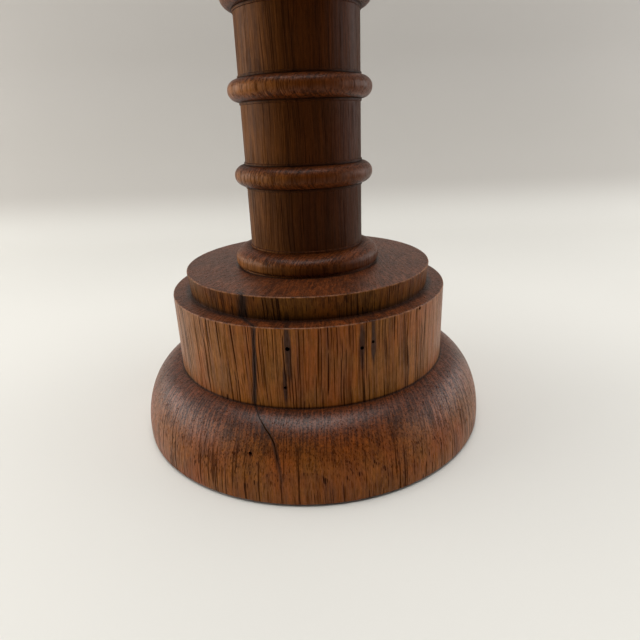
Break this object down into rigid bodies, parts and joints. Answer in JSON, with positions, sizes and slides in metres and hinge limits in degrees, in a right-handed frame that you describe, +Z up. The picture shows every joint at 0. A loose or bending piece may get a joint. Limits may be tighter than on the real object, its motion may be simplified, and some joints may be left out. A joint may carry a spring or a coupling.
{
  "type": "candlestick",
  "caption": "Turned oak candlestick: stepped round base, straight column ringed with half-round beads, shallow wax tray and a loose spun brass cup for one dinner candle.",
  "frame": {"origin": "on the table, at the centre of the baize under the base", "axes": "+Z up along the turning axis; the side with the drying crack faces -Y, and +X is to the right as seen from there"},
  "size_m": [0.14, 0.14, 0.304],
  "materials": {
    "oak_base": "dark stain under worn wax, satin",
    "oak_stem": "dark stain under worn wax, satin",
    "oak_capital": "dark stain under worn wax, satin",
    "brass": "spun, lightly tarnished",
    "steel": "dull",
    "baize": "short woollen nap"
  },
  "bodies": {
    "candlestick": {"base_block": "oak_base", "stem": "oak_stem", "capital": "oak_capital", "fixing_screw": "steel", "screw_washer": "steel", "baize_pad": "baize"},
    "cup": {"candle_cup": "brass"}
  },
  "joints": [
    {"name": "cup_lift", "type": "slide", "parent": "candlestick", "child": "cup", "axis": [0, 0, 1], "range_m": [0, 0.04]}
  ]
}
